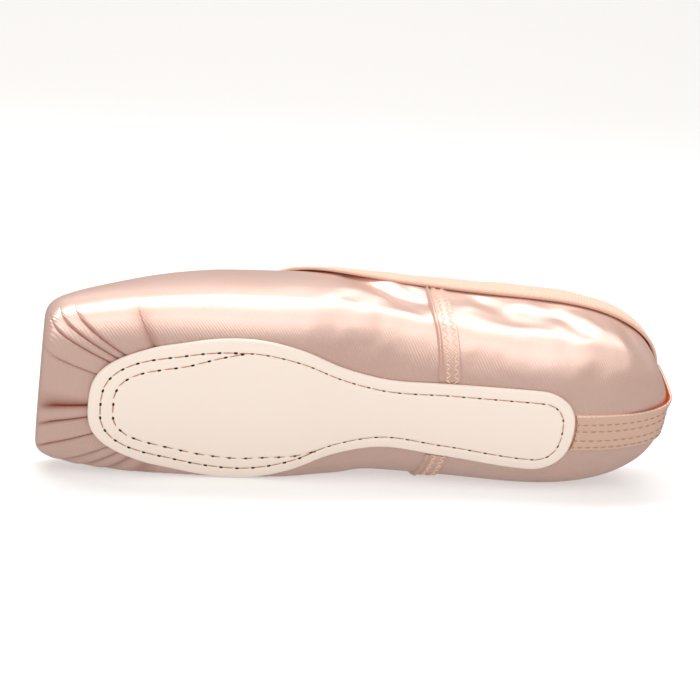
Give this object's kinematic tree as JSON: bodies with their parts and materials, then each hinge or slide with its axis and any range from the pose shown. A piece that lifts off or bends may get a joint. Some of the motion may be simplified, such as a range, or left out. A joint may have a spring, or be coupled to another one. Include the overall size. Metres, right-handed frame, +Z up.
{
  "type": "pointe shoe",
  "caption": "Satin pointe shoe with a hard pleated toe box and flat platform, short leather outsole, bound collar and heel strip, lying empty on its side.",
  "frame": {"origin": "on the floor, under the middle of the shoe's box as it lies on its right side", "axes": "+X from toe to heel along the shoe, +Y the way the collar faces, +Z up from the floor"},
  "size_m": [0.2282, 0.0732, 0.0736],
  "materials": {
    "satin": "glossy peach-pink satin with a fine twill",
    "sole_leather": "smooth pale leather, pared at the edge",
    "insole_board": "matt cotton over board",
    "collar_tape": "matt ribbed tape",
    "heel_strip": "stitched satin strip"
  },
  "bodies": {
    "root": {"upper": "satin", "outsole": "sole_leather", "insole": "insole_board", "topline_binding": "collar_tape", "side_seam_left": "satin", "side_seam_right": "satin", "back_strip": "heel_strip"}
  },
  "joints": []
}
